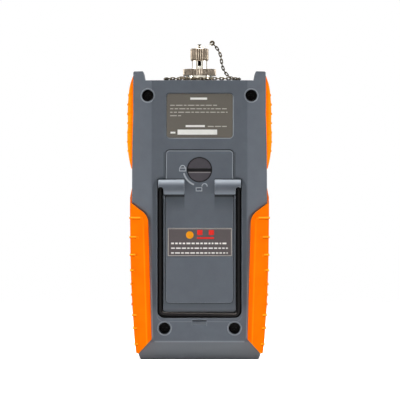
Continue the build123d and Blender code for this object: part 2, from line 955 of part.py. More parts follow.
for turn in (0, 120, 240):
    diode += Rot(0, 0, turn) * pin(0.3, shank_low - 2, panel_top - 3.2, 1.3)
nut_top = panel_top - panel_wall
nut = Pos(0, 0, nut_top - 4.0) * extrude(
    RegularPolygon(8.0, 6, major_radius=False), 4.0
)
nut -= pin(shank_r + running, shank_low, ear_top)

# Dust cap: knurled, chamfered at its mouth, with a stem and rivet for the strap
cap_body = knurled(cap_r, cap_low + 0.6, cap_high - 0.4, cap_teeth, 0.28)
cap_body += Pos(0, 0, cap_low + 0.3) * Cone(cap_r - 0.5, cap_r - 0.2, 0.6)
cap_body += Pos(0, 0, cap_high - 0.2) * Cone(cap_r - 0.25, cap_r - 0.6, 0.4)
cap_body -= pin(barrel_port_r + running, panel_top, cap_high - cap_end)
cap_body += pin(stem_r, cap_high - 0.2, stem_high)
cap_body += pin(rivet_r, stem_high, rivet_high)

# Strap: level at the rivet, then rising to the jump ring
hook = ring_major / sqrt(2)
hook_x = ring_x - hook
hook_z = ring_z - hook
level_z = strap_low + strap_thick / 2
rise = atan2(hook_z - level_z, hook_x - strap_turn_x)
reach = sqrt((hook_z - level_z) ** 2 + (hook_x - strap_turn_x) ** 2)
strap = Pos(0, 0, strap_low) * extrude(
    Circle(1.9) + Pos(strap_turn_x / 2, 0) * Rectangle(strap_turn_x, 2 * strap_half),
    strap_thick,
)
arm = extrude(
    Pos(reach / 2, 0) * Rectangle(reach, 2 * strap_half)
    + Pos(reach, 0) * Circle(strap_end_r)
    + Circle(strap_half),
    strap_thick / 2,
    both=True,
)
arm -= Pos(reach, 0) * Cylinder(strap_hole_r, 3)
strap += Pos(strap_turn_x, 0, level_z) * Rot(0, -degrees(rise), 0) * arm
strap -= pin(stem_r + 0.08, cap_low, ring_z)
jump = Pos(ring_x, 0, ring_z) * Rot(90, 0, 0) * Torus(ring_major, ring_wire_r)

# Chain: equal links along one path, every second one turned a quarter
hole_long = link_pitch + link_slack
long = hole_long + 2 * link_wire
plan = chamfer(Rectangle(long, link_wide).vertices(), 0.65)
plan -= chamfer(Rectangle(hole_long, link_hole_w).vertices(), 0.3)
link = extrude(plan, link_wire / 2, both=True)
first = ring_major - ring_wire_r + hole_long / 2 - 0.03
first_x = ring_x + first / sqrt(2)
first_z = ring_z - first / sqrt(2)
last_x = tab_x - hole_long / 2 - link_wire / 2
hang = ring_z - link_rest_z
path = Spline(
    (first_x, 0, first_z),
    (ring_x + 3.1, 0, link_rest_z + 0.843 * hang),
    (ring_x + 5.0, 0, link_rest_z + 0.668 * hang),
    (ring_x + 5.8, 0, link_rest_z + 0.459 * hang),
    (ring_x + 7.0, 0, link_rest_z + 0.269 * hang),
    (ring_x + 9.3, 0, link_rest_z + 0.122 * hang),
    (19.6, -0.2, link_rest_z + 0.9),
    (21.4, -0.8, link_rest_z + 0.3),
    (23.3, -2.3, link_rest_z + 0.05),
    (24.5, -5.2, link_rest_z),
    (23.2, run_y + 2.7, link_rest_z),
    (20.0, run_y + 0.7, link_rest_z),
    (16.0, run_y + 0.2, link_rest_z),
    (8.0, run_y, link_rest_z),
    (0.0, run_y - 0.1, link_rest_z),
    (-8.0, run_y + 0.1, link_rest_z),
    (-15.6, run_y + 0.6, link_rest_z),
    (-19.5, run_y + 2.3, link_rest_z),
    (-21.1, -5.3, link_rest_z),
    (-19.5, -1.7, link_rest_z),
    (-16.0, -0.1, link_rest_z),
    (last_x, 0, link_rest_z),
)
steps = 2 * round(path.length / link_pitch / 2)
links = []
for i in range(steps + 1):
    ahead = path.tangent_at(path.length * i / steps, PositionMode.LENGTH)
    at = path.position_at(path.length * i / steps, PositionMode.LENGTH)
    side = Vector(0, 0, 1).cross(ahead).normalized()
    normal = ahead.cross(side) if i % 2 == 0 else side
    links.append(Plane(at, x_dir=ahead, z_dir=normal) * link)

# Every piece under its node name
groups = {
    "housing_screws": screws,
    "battery_cells": cells,
    "cell_contacts": contacts,
    "board_screws": board_screws,
    "retaining_chain": links,
}
singles = {
    "rear_shell": rear,
    "front_shell": front,
    "lower_grip_right": lower_grip,
    "lower_grip_left": mirror(lower_grip, about=Plane.YZ),
    "upper_bumper_right": upper_grip,
    "upper_bumper_left": mirror(upper_grip, about=Plane.YZ),
    "battery_door": door,
    "door_lock": knob,
    "lock_cam": cam,
    "cam_screw": cam_screw,
    "tilt_bail": bail,
    "upper_plate": upper_plate,
    "lower_plate": lower_plate,
    "main_board": board,
    "display_module": module,
    "display_window": window,
    "key_mat": mat,
    "charge_socket": socket,
    "chain_anchor": anchor,
    "port_base": base,
    "adapter_ring": collar,
    "port_barrel": port,
    "ferrule_sleeve": sleeve,
    "photodiode": diode,
    "port_nut": nut,
    "dust_cap": cap_body,
    "cap_strap": strap,
    "jump_ring": jump,
}
for name, solids in groups.items():
    export_step(Compound(children=solids), "parts/" + name + ".step")
for name, solid in singles.items():
    export_step(solid, "parts/" + name + ".step")
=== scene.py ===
# %% [markdown]
# # A handheld optical power meter, seen from its back
#
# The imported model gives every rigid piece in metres, where it belongs. This lesson dresses those
# pieces: a camera and a white studio first, then one finish for each real material, then the few
# pieces that are easier to make here than in CAD, such as printed fields and round chain links.

# %% The frame
import json
import math
from functools import partial

import bpy
import numpy as np
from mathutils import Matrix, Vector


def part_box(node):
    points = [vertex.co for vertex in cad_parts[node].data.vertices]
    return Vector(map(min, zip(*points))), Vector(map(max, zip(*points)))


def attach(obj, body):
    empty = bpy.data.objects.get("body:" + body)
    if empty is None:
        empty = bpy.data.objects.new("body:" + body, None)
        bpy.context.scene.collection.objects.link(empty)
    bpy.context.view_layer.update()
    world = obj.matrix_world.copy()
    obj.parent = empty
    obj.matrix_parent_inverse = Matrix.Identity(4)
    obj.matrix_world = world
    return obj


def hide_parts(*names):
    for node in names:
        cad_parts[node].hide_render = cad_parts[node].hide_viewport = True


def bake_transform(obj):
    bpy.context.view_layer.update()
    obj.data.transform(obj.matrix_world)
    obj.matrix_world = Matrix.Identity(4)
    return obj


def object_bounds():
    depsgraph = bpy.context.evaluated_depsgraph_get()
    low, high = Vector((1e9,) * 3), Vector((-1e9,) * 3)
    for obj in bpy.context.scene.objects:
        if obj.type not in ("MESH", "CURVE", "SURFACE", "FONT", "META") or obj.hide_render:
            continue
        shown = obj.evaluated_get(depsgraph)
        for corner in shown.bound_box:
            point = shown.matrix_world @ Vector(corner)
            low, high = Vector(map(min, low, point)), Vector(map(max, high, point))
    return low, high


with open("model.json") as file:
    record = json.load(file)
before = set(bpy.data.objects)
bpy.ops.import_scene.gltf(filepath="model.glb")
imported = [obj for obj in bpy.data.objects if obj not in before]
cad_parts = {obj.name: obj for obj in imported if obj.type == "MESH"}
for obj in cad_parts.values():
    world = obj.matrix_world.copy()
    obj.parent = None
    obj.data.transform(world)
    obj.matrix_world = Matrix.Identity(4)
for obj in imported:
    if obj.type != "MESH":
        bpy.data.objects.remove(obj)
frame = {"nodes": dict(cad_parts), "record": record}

MM = 0.001
FAR = 99  # in mm, beyond any part of the object
cad_low, cad_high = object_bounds()
nodes = frame["nodes"]
body_of_node = {n: b for b, names in frame["record"]["behaviour"]["bodies"].items() for n in names}
print("CAD box in mm:", [round(v / MM, 1) for v in (*cad_low, *cad_high)])

# %% [markdown]
# ## Camera
#
# The photograph was taken square on with a long lens: the top panel is level with the view, so
# neither it nor the foot shows. A camera could be placed by eye, but the housing's outline gives
# the scale, so the frame's width and the lens are worked out from it.

# %% Camera
photo_size = 400
mm_per_pixel = 0.606
axis_x = 0.3 * MM
axis_z = 96.8 * MM
back_y = -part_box("front_shell")[1].y
distance = 1.5
view_width = photo_size * mm_per_pixel * MM
camera_data = bpy.data.cameras.new("long_lens")
camera_data.sensor_width = 36
camera_data.lens = 36 * distance / view_width
camera_data.clip_end = 50
camera = bpy.data.objects.new("camera", camera_data)
camera.location = (axis_x, back_y - distance, axis_z)
camera.rotation_euler = (math.radians(90), 0, 0)
bpy.context.scene.collection.objects.link(camera)
bpy.context.scene.camera = camera
print("lens", round(camera_data.lens, 1), "mm, view", round(view_width / MM, 1), "mm wide")

# %% [markdown]
# ## Node helper
#
# Every material below is a small graph. Writing each node by hand takes three or four lines, so
# one helper adds a node with its settings, its fixed values and its links, whatever its kind is.

# %% Node helper
def add(owner, kind, settings=None, values=None, links=None):
    """One node: settings are its own properties, values fill its sockets, links feed them."""
    made = owner.node_tree.nodes.new("ShaderNode" + kind)
    for name, value in (settings or {}).items():
        setattr(made, name, value)
    for socket, value in (values or {}).items():
        made.inputs[socket].default_value = value
    for socket, output in (links or {}).items():
        owner.node_tree.links.new(output, made.inputs[socket])
    return made


def linear(code):
    """An sRGB hex colour as linear light: each channel to the power 2.4 above a short ramp."""
    channels = np.array([int(code[i:i + 2], 16) / 255 for i in (1, 3, 5)])
    low = channels / 12.92
    high = ((channels + 0.055) / 1.055) ** 2.4
    return (*np.where(channels <= 0.04045, low, high), 1.0)


# %% [markdown]
# ## Studio
#
# A product like this is lit in a white tent: bright walls at both sides, a soft box overhead and
# a dimmer side where the camera stands. The world could light it alone, but soft boxes give the
# barrels and bevels their edges. Mirrors see a tent with a dark gap in it, which draws the dark
# line down each turned piece. The world is white where the camera looks at it, and the floor
# tops its own light up to white in the same way, so that only the object's shadow is left on it.

# %% World
world = bpy.data.worlds.new("white_tent")
bpy.context.scene.world = world
world.use_nodes = True
world.node_tree.nodes.clear()
towards = add(world, "TexCoord")
parts = add(world, "SeparateXYZ", links={0: towards.outputs["Generated"]})
tent = add(world, "FloatCurve", links={1: parts.outputs[1]})
dark_gap = [(-1.0, 0.9), (-0.68, 0.85), (-0.54, 0.06), (-0.38, 0.08), (-0.22, 0.8), (1.0, 0.62)]
points = tent.mapping.curves[0].points
for place, height in dark_gap[2:]:
    points.new(0, 0)
for point, place in zip(points, dark_gap):
    point.location = place
    point.handle_type = "VECTOR"
tent.mapping.clip_min_x = -1
tent.mapping.update()
wrap_round = add(
    world, "MapRange", values={1: -0.85, 2: 0.2, 3: 0.02, 4: 0.27}, links={0: parts.outputs[1]},
)
ambient = add(world, "Background", links={1: wrap_round.outputs[0]})
mirrored = add(world, "Background", values={0: (1, 1, 1, 1)}, links={1: tent.outputs[0]})
seen = add(world, "Background", values={0: (1, 1, 1, 1), 1: 1.0})
path = add(world, "LightPath")
either = add(
    world, "Math", {"operation": "MAXIMUM"},
    links={0: path.outputs["Is Glossy Ray"], 1: path.outputs["Is Transmission Ray"]},
)
inner = add(
    world, "MixShader",
    links={0: either.outputs[0], 1: ambient.outputs[0], 2: mirrored.outputs[0]},
)
outer = add(
    world, "MixShader",
    links={0: path.outputs["Is Camera Ray"], 1: inner.outputs[0], 2: seen.outputs[0]},
)
ambient.inputs[0].default_value = (1, 1, 1, 1)
add(world, "OutputWorld", links={0: outer.outputs[0]})

# %% Soft boxes
def soft_box(name, place, target, size, watts):
    """A square area lamp at a place, turned so that its face looks at the target."""
    data = bpy.data.lights.new(name, "AREA")
    data.shape = "RECTANGLE"
    data.size, data.size_y = size
    data.energy = watts
    lamp = bpy.data.objects.new(name, data)
    bpy.context.scene.collection.objects.link(lamp)
    lamp.location = place
    aim = np.array(target) - np.array(place)
    flat = math.hypot(aim[0], aim[1])
    lamp.rotation_euler = (math.atan2(flat, -aim[2]), 0, math.atan2(aim[1], aim[0]) - math.pi / 2)
    return lamp


middle = (0, 0, 0.09)
soft_box("left_wall", (-0.7, -0.1, 0.05), middle, (0.4, 0.5), 5)
soft_box("right_wall", (0.7, -0.1, 0.05), middle, (0.4, 0.5), 5)
soft_box("overhead", (0.0, -0.055, 0.85), middle, (0.5, 0.2), 11)
soft_box("camera_side", (-0.2, -1.2, 0.02), middle, (0.5, 0.3), 0.75)
soft_box("far_side", (0.3, 1.5, 0.8), middle, (0.9, 0.9), 5)
bpy.context.scene.view_settings.view_transform = "Standard"

# %% Floor
def grid_mesh(name, points):
    """A mesh from an array of points in rows and columns; each cell becomes one face."""
    rows, columns = points.shape[:2]
    index = np.arange(rows * columns).reshape(rows, columns)
    quads = np.stack([index[:-1, :-1], index[:-1, 1:], index[1:, 1:], index[1:, :-1]], -1)
    mesh = bpy.data.meshes.new(name)
    mesh.from_pydata(points.reshape(-1, 3).tolist(), [], quads.reshape(-1, 4).tolist())
    made = bpy.data.objects.new(name, mesh)
    bpy.context.scene.collection.objects.link(made)
    return made


reach = np.linspace(-0.9, 0.9, 9)
floor_x, floor_y = np.meshgrid(reach, reach)
floor = grid_mesh("floor", np.stack([floor_x, floor_y, 0 * floor_x], -1))
paper = bpy.data.materials.new("white_paper_roll")
paper.use_nodes = True
paper.node_tree.nodes.clear()
matt = add(paper, "BsdfDiffuse", values={0: linear("#E8E8E8")})
glow = add(paper, "Emission", values={0: (1, 1, 1, 1)})
path = add(paper, "LightPath")
either = add(
    paper, "Math", {"operation": "MAXIMUM"},
    links={0: path.outputs["Is Camera Ray"], 1: path.outputs["Is Glossy Ray"]},
)
top_up = add(paper, "Math", {"operation": "MULTIPLY"}, {1: 0.8}, {0: either.outputs[0]})
paper.node_tree.links.new(top_up.outputs[0], glow.inputs[1])
both = add(paper, "AddShader", links={0: matt.outputs[0], 1: glow.outputs[0]})
place = add(paper, "TexCoord")
away = add(paper, "VectorMath", {"operation": "LENGTH"}, links={0: place.outputs["Object"]})
fade = add(
    paper, "MapRange", {"interpolation_type": "SMOOTHSTEP"}, {1: 0.4, 2: 0.88},
    {0: away.outputs["Value"]},
)
open_air = add(paper, "BsdfTransparent")
whole = add(
    paper, "MixShader", links={0: fade.outputs[0], 1: both.outputs[0], 2: open_air.outputs[0]}
)
add(paper, "OutputMaterial", links={0: whole.outputs[0]})
floor.data.materials.append(paper)
print("studio: 5 soft boxes, a floor", round(float(np.ptp(reach)), 1), "m wide")

# %% [markdown]
# ## Finishes
#
# Each finish starts from what the real one is. They share three ideas: patterns are laid out in
# millimetres of the object's own space, a rounded normal softens hard CAD edges the way a mould does,
# and the same rounded normal tells where an edge is, so that it can be painted lighter as a painted
# highlight.

# %% Shared start of a finish
def finish(name, colour, roughness, metallic=0.0, ior=1.5, edge_mm=0.25):
    """A material with one principled shader. Returns both, millimetres and the edge normal."""
    material = bpy.data.materials.new(name)
    material.use_nodes = True
    material.node_tree.nodes.clear()
    shader = add(material, "BsdfPrincipled")
    shader.inputs["Base Color"].default_value = linear(colour)
    shader.inputs["Roughness"].default_value = roughness
    shader.inputs["Metallic"].default_value = metallic
    if not metallic:
        shader.inputs["IOR"].default_value = ior
    add(material, "OutputMaterial", links={0: shader.outputs[0]})
    place = add(material, "TexCoord")
    in_mm = add(
        material, "VectorMath", {"operation": "SCALE"}, {3: 1 / MM}, {0: place.outputs["Object"]}
    )
    soft = add(material, "Bevel", {"samples": 6}, {0: edge_mm * MM})
    return material, shader, in_mm.outputs[0], soft.outputs[0]


def grain(material, shader, in_mm, normal, size_mm, depth_mm):
    """Bumps of a given size and depth, from noise whose scale is one over that size."""
    noise = add(
        material, "TexNoise", values={"Scale": 1 / size_mm, "Detail": 2.0}, links={0: in_mm}
    )
    bump = add(
        material, "Bump", values={"Strength": 1.0, "Distance": depth_mm * MM},
        links={"Height": noise.outputs[0], "Normal": normal},
    )
    material.node_tree.links.new(bump.outputs[0], shader.inputs["Normal"])
    return noise


def edge_mask(material, normal, sharpness):
    """Nought on flat faces and one at edges: one minus the rounded normal times the true one."""
    true = add(material, "NewGeometry")
    match = add(
        material, "VectorMath", {"operation": "DOT_PRODUCT"},
        links={0: normal, 1: true.outputs["Normal"]},
    )
    away = add(material, "Math", {"operation": "SUBTRACT"}, {0: 1.0}, {1: match.outputs["Value"]})
    strong = add(
        material, "Math", {"operation": "MULTIPLY", "use_clamp": True}, {1: sharpness},
        {0: away.outputs[0]},
    )
    return strong.outputs[0]


def blend_colour(material, factor, first, second, how="MIX"):
    """A colour mix; first and second are hex codes or outputs of other nodes."""
    mix = add(material, "Mix", {"data_type": "RGBA", "blend_type": how})
    material.node_tree.links.new(factor, mix.inputs[0])
    for socket, source in ((6, first), (7, second)):
        if isinstance(source, str):
            mix.inputs[socket].default_value = linear(source)
        else:
            material.node_tree.links.new(source, mix.inputs[socket])
    return mix.outputs[2]


def from_rim(material, middle_x, middle_z, half_x, half_z, corner):
    """How far a point lies outside a rounded rectangle in X and Z, in mm; inside is negative.
    The point is taken from the middle, its signs dropped, the inner half sizes subtracted, and
    the length of what is left above nought is compared with the corner radius."""
    place = add(material, "TexCoord")
    shifted = add(
        material, "VectorMath", {"operation": "MULTIPLY_ADD"},
        {1: (1 / MM, 0, 1 / MM), 2: (-middle_x, 0, -middle_z)}, {0: place.outputs["Object"]},
    )
    plain = add(material, "VectorMath", {"operation": "ABSOLUTE"}, links={0: shifted.outputs[0]})
    inner = (half_x - corner, 0, half_z - corner)
    beyond = add(
        material, "VectorMath", {"operation": "SUBTRACT"}, {1: inner}, {0: plain.outputs[0]}
    )
    kept = add(material, "VectorMath", {"operation": "MAXIMUM"}, links={0: beyond.outputs[0]})
    length = add(material, "VectorMath", {"operation": "LENGTH"}, links={0: kept.outputs[0]})
    outside = add(
        material, "Math", {"operation": "SUBTRACT"}, {1: corner}, {0: length.outputs["Value"]}
    )
    return outside.outputs[0]


def band(material, distance, low, high, soft=0.08):
    """One where a distance lies between two values, fading to nought over a soft margin."""
    rise = add(material, "MapRange", values={1: low - soft, 2: low + soft}, links={0: distance})
    fall = add(
        material, "MapRange", values={1: high - soft, 2: high + soft, 3: 1.0, 4: 0.0},
        links={0: distance},
    )
    both = add(
        material, "Math", {"operation": "MULTIPLY"}, links={0: rise.outputs[0], 1: fall.outputs[0]}
    )
    return both.outputs[0]


def repaint(material, colour, *masks):
    """Lays a tone over what feeds the base colour, where every one of the masks is one."""
    whole = masks[0]
    for mask in masks[1:]:
        both = add(material, "Math", {"operation": "MULTIPLY"}, links={0: whole, 1: mask})
        whole = both.outputs[0]
    shader = next(n for n in material.node_tree.nodes if n.type == "BSDF_PRINCIPLED")
    under = shader.inputs["Base Color"].links[0].from_socket
    shown = blend_colour(material, whole, under, colour)
    material.node_tree.links.new(shown, shader.inputs["Base Color"])


def along(material, weights, start, end):
    """A ramp from nought to one: X, Y and Z in mm are weighted and added, and the sum is read
    between a start and an end. One weight alone gives a height, two give a slanted line."""
    place = add(material, "TexCoord")
    scaled = tuple(w / MM for w in weights)
    total = add(
        material, "VectorMath", {"operation": "DOT_PRODUCT"}, {1: scaled},
        {0: place.outputs["Object"]},
    )
    read = add(material, "MapRange", values={1: start, 2: end}, links={0: total.outputs["Value"]})
    return read.outputs[0]


def bound_to(material):
    """The four mask helpers with a material filled in, so that a list of tones stays short."""
    return [partial(helper, material) for helper in (from_rim, along, band, repaint)]


def sunk_below_back(material):
    """How deep a point lies below the flat back, in mm; what stands proud of it is negative."""
    place = add(material, "TexCoord")
    parts = add(material, "SeparateXYZ", links={0: place.outputs["Object"]})
    scaled = add(
        material, "Math", {"operation": "MULTIPLY_ADD"}, {1: 1 / MM, 2: -back_y / MM},
        {0: parts.outputs[1]},
    )
    return scaled.outputs[0]


def sideways(material, lean=0.0):
    """How far a point lies from the middle plane, in mm, less a share of its height. Equal
    values then lie on two lines, one at each side, which lean apart upwards."""
    place = add(material, "TexCoord")
    mirrored = add(
        material, "VectorMath", {"operation": "ABSOLUTE"}, links={0: place.outputs["Object"]}
    )
    total = add(
        material, "VectorMath", {"operation": "DOT_PRODUCT"}, {1: (1 / MM, 0, -lean / MM)},
        {0: mirrored.outputs[0]},
    )
    return total.outputs["Value"]


def from_axis(material):
    """How far a point lies from the port's upright axis, in mm: the length of its X and Y."""
    place = add(material, "TexCoord")
    level = add(
        material, "VectorMath", {"operation": "MULTIPLY"}, {1: (1 / MM, 1 / MM, 0)},
        {0: place.outputs["Object"]},
    )
    length = add(material, "VectorMath", {"operation": "LENGTH"}, links={0: level.outputs[0]})
    return length.outputs["Value"]


def facing_up(material, start, end):
    """A ramp from nought to one by how much a face looks up, which is the Z of its normal."""
    true = add(material, "NewGeometry")
    parts = add(material, "SeparateXYZ", links={0: true.outputs["Normal"]})
    read = add(material, "MapRange", values={1: start, 2: end}, links={0: parts.outputs[2]})
    return read.outputs[0]


def outline_of(node):
    """The middle in X and Z and the half sizes in X and Z of a node's box, in mm."""
    low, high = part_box(node)
    middle = ((low.x + high.x) / 2 / MM, (low.z + high.z) / 2 / MM)
    return (*middle, (high.x - low.x) / 2 / MM, (high.z - low.z) / 2 / MM)


# %% [markdown]
# ### Moulded housing
#
# The grey shell is ABS from a spark-eroded mould: matt, with a very fine even grain. The real grain is
# near 0.1 mm, too fine for this picture, so it is drawn at 0.35 mm, and a slow cloud of a few
# millimetres keeps the big flat back from looking like paint. Edges are painted lighter, a painted
# highlight.

# %% Moulded housing
def moulded_abs(name, dark, light, edge, roughness=0.5, strength=4.0):
    """Spark-eroded ABS: two close greys in clouds, fine bumps, edges painted lighter as a painted
    highlight.
    """
    material, shader, in_mm, normal = finish(name, dark, roughness, edge_mm=0.4)
    grain(material, shader, in_mm, normal, 0.35, 0.012)
    shader.inputs["Specular IOR Level"].default_value = 0.16
    cloud = add(material, "TexNoise", values={"Scale": 1 / 7.0, "Detail": 3.0}, links={0: in_mm})
    speck = add(material, "TexNoise", values={"Scale": 1 / 0.9, "Detail": 1.0}, links={0: in_mm})
    mixed = add(
        material, "Math", {"operation": "MULTIPLY_ADD"}, {1: 0.35},
        {0: speck.outputs[0], 2: cloud.outputs[0]},
    )
    spread = add(material, "MapRange", values={1: 0.4, 2: 0.95}, links={0: mixed.outputs[0]})
    body = blend_colour(material, spread.outputs[0], dark, light)
    # painted highlight: edges painted lighter by the edge mask
    painted_edge_highlight = blend_colour(material, edge_mask(material, normal, strength), body, edge)
    material.node_tree.links.new(painted_edge_highlight, shader.inputs["Base Color"])
    return material


abs_greys = ("#5A5F67", "#5F656D", "#9BA1A8")
housing = moulded_abs("moulded_grey_abs", *abs_greys)

# %% [markdown]
# ### Rear half and door
#
# Where two mouldings meet, the gap holds dust and shadow, and the rims beside it are painted pale, a
# painted highlight. The gap is two tenths of a millimetre, less than a pixel here, so it is drawn half
# a millimetre wide, by the distance from the door's outline. The groove that the stand folds into is
# painted dark, painted shade, and so are the screw wells. Below its crease the foot is painted a tone
# lighter, painted light bounced up from the floor. The lock signs stand a fifth of a millimetre proud,
# and that height picks them out for a painted highlight. Where two tones overlap, the later one covers
# the earlier.

# %% Rear half
_, lock_z, lock_r, _ = outline_of("door_lock")
_, door_z, _, door_tall = outline_of("battery_door")
door_half = outline_of("lower_plate")[2] + 1.0
door_rim = (0, door_z, door_half, door_tall, 2.5)
_, groove_z, bail_half, bail_tall = outline_of("tilt_bail")
groove_tall = bail_tall + 2.2
groove_rim = (0, groove_z, bail_half + 0.6, groove_tall, 4.2)
platform_low = groove_z - groove_tall + 6.1
platform_half, platform_tall = 21.75, 60
crease_z, foot_half = 11.0, 27.0
notch_z, notch_half, notch_tall = 22.6, 4.3, 1.6
grip_lean = 0.031
screw_r, well_r = 2.75, 3.55
upward, downward = (0, 0, 1), (0, 0, -1)

rear_plastic = moulded_abs("moulded_grey_abs_rear", *abs_greys)
rim, ramp, within, paint = bound_to(rear_plastic)
sunk = sunk_below_back(rear_plastic)
# The gap round the door, the groove painted near black as painted shade, and a painted highlight along
# its lower edge
paint("#17191C", within(rim(*door_rim), 0.0, 0.5))
to_groove = rim(*groove_rim)
paint("#141416", within(to_groove, -FAR, 0.05), within(sunk, 0.5, FAR, 0.25))
paint("#747A82", within(to_groove, 0.05, 0.4, 0.15), ramp(downward, -29.0, -25.0))
# Painted light on the strip of groove over the stand's bar, and painted shade on the strips beside its
# legs
over_bar = rim(0, platform_low - 0.7, 20.6, 0.6, 0.1)
paint("#5A5A5D", within(over_bar, -FAR, 0.05, 0.15))
legs_only = ramp(upward, 28.0, 34.0)
paint("#4C5158", within(to_groove, 0.35, 2.9, 0.35), legs_only)
# Painted shade on the platform's lower lip and on its two long sides
inner_lip = rim(0, platform_low + 0.4, platform_half - 0.15, 0.5, 0.1)
paint("#4E5359", within(inner_lip, -FAR, 0.1, 0.15))
platform_side = rim(0, groove_z, platform_half, platform_tall, 0.1)
on_top = within(sunk, -0.5, 0.4, 0.05)
paint("#4E5359", within(platform_side, -0.75, 0.15), legs_only, on_top)
# The foot painted lighter below its crease as painted light from the floor, a painted highlight on the
# crease and painted shade along its bottom edge
paint("#666A6F", ramp(downward, -crease_z, 0.6 - crease_z))
paint("#80858C", within(rim(0, crease_z, foot_half, 0.2, 0.1), -FAR, 0.15, 0.35))
paint("#34373B", ramp(downward, -0.9, -0.3))
# The finger notch: its floor painted lighter as painted light, its upper part painted dark as painted
# shadow
in_notch = within(rim(0, notch_z, notch_half, notch_tall, 0.3), -FAR, 0)
notch_depth = within(sunk, 0.15, FAR, 0.05)
paint("#70767E", in_notch, notch_depth)
paint("#303236", in_notch, notch_depth, ramp(upward, notch_z + 0.4, notch_z + 0.7))
# A strip beside the lower grips painted lighter, painted light
lit_strip_beside_grip = within(sideways(rear_plastic, grip_lean), 27.6, 28.7, 0.2)
below_turn = ramp(downward, -84.0, -78.0)
above_crease = ramp(upward, crease_z + 1.0, crease_z + 3.0)
paint("#868C93", lit_strip_beside_grip, below_turn, above_crease)
# The upper plate's pocket: painted shadow at the top of its rim and a painted highlight at the lower
# right
foil_x, foil_z, foil_half_x, foil_half_z = outline_of("upper_plate")
foil_rim = within(rim(foil_x, foil_z, foil_half_x + 0.15, foil_half_z + 0.15, 2.1), 0.0, 0.4)
foil_top = foil_z + foil_half_z
paint("#3C4045", foil_rim, ramp(upward, foil_top - 1.5, foil_top))
steepness = foil_half_x / foil_half_z
paint("#9AA0A6", foil_rim, ramp((1, 0, -steepness), -foil_z * steepness, -foil_z * steepness + 6.0))
# The screw wells painted near black as painted shade, each with a pale ring as a painted highlight; the
# lower two stand nearer the middle
screw_low, screw_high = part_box("housing_screws")
upper_screw = (screw_high.x / MM - screw_r, screw_high.z / MM - screw_r)
lower_screw = (21.2, screw_low.z / MM + screw_r)
for x, z in (upper_screw, lower_screw):
    for side in (-1, 1):
        to_well = rim(side * x, z, well_r, well_r, well_r)
        paint("#868C93", within(to_well, 0.3, 0.6, 0.15))
        paint("#0E0E0F", within(to_well, -FAR, 0.05), within(sunk, 0.6, FAR, 0.3))
print("door rim in mm", [round(v, 1) for v in door_rim], "screws", upper_screw, lower_screw)

# %% Door
door_plastic = moulded_abs("moulded_grey_abs_door", *abs_greys)
rim, ramp, within, paint = bound_to(door_plastic)
sunk = sunk_below_back(door_plastic)
flat = within(sunk, -0.05, 0.6, 0.03)
hinge_low, hinge_high = 100.6, 108.9
# The rim beside the gap, painted pale above the hinge only, a painted highlight
beside_gap = within(rim(*door_rim), -0.65, -0.15)
paint("#969CA3", flat, beside_gap, ramp(upward, hinge_low - 6.0, hinge_high))
# The gap round the lock, and a painted highlight on the signs that stand proud beside it
to_lock = rim(0, lock_z, lock_r, lock_r, lock_r)
paint("#17181A", within(to_lock, -0.2, 0.32))
paint("#A9AFB6", within(sunk, -0.3, -0.1, 0.03), within(to_lock, 0.3, 8.0))
# Painted shade below the hinge barrels, and painted shadow lines where they meet the door
barrel_x, barrel_half = 17.2, 8.0
contact_lines = ((hinge_low - 1.0, 0.9, "#26292C"), (hinge_high + 0.5, 0.3, "#33363A"))
for side in (-1, 1):
    below = rim(side * barrel_x, hinge_low - 5.5, barrel_half, 6.0, 0.2)
    nearer = ramp(upward, hinge_low - 11.0, hinge_low - 0.5)
    paint("#3E4247", within(below, -FAR, 0.05, 0.4), flat, nearer)
    for line_z, line_half, tone in contact_lines:
        line = rim(side * barrel_x, line_z, barrel_half, line_half, 0.2)
        paint(tone, within(line, -FAR, 0.05, 0.25), flat)
# The barrels painted lighter on faces that look up, a painted highlight, and on faces that look down,
# painted light from the floor
barrels = within(sunk, -FAR, -0.45, 0.1)
paint("#8E959D", barrels, facing_up(door_plastic, 0.2, 0.75))
paint("#767D85", barrels, facing_up(door_plastic, -0.35, -0.8))

# %% Lock
lock_plastic = moulded_abs("moulded_dark_nylon", "#434045", "#4B474C", "#6A6468", 0.5, 2.0)
rim, ramp, within, paint = bound_to(lock_plastic)
to_lock = rim(0, lock_z, lock_r, lock_r, lock_r)
# painted shade: the lock's outer rim painted near black beside the gap
paint("#141314", within(to_lock, -0.4, FAR))
# painted shade: the coin slot painted black inside
coin_slot = rim(0, lock_z - 0.3, FAR, 1.05, 0.01)
paint("#0A0909", within(coin_slot, -FAR, 0.05))
# painted highlight: a pale line along the slot's lower edge, which faces the overhead light
slot_edge_highlight = rim(0, lock_z - 1.65, FAR, 0.25, 0.01)
paint("#8A8384", within(slot_edge_highlight, -FAR, 0.05), within(to_lock, -FAR, -0.5))
print("lock at", round(lock_z, 1), "mm, radius", round(lock_r, 1), "mm")

# %% [markdown]
# ### Orange grips
#
# The grips are thermoplastic rubber moulded over the shell: dense orange, satin, a little soft at the
# edges, with a painted highlight along them. A plain orange would do from far off, but here the crown
# of the bumpers and a line along the grips are painted paler, a painted highlight where they face the
# side light, the inner part of the lower grips is painted deeper as painted shade, and fine grain
# breaks the highlight.
# The ribs are under a millimetre high, too low to catch the light in this picture, so each gets
# a lit line on top and a shaded one below.

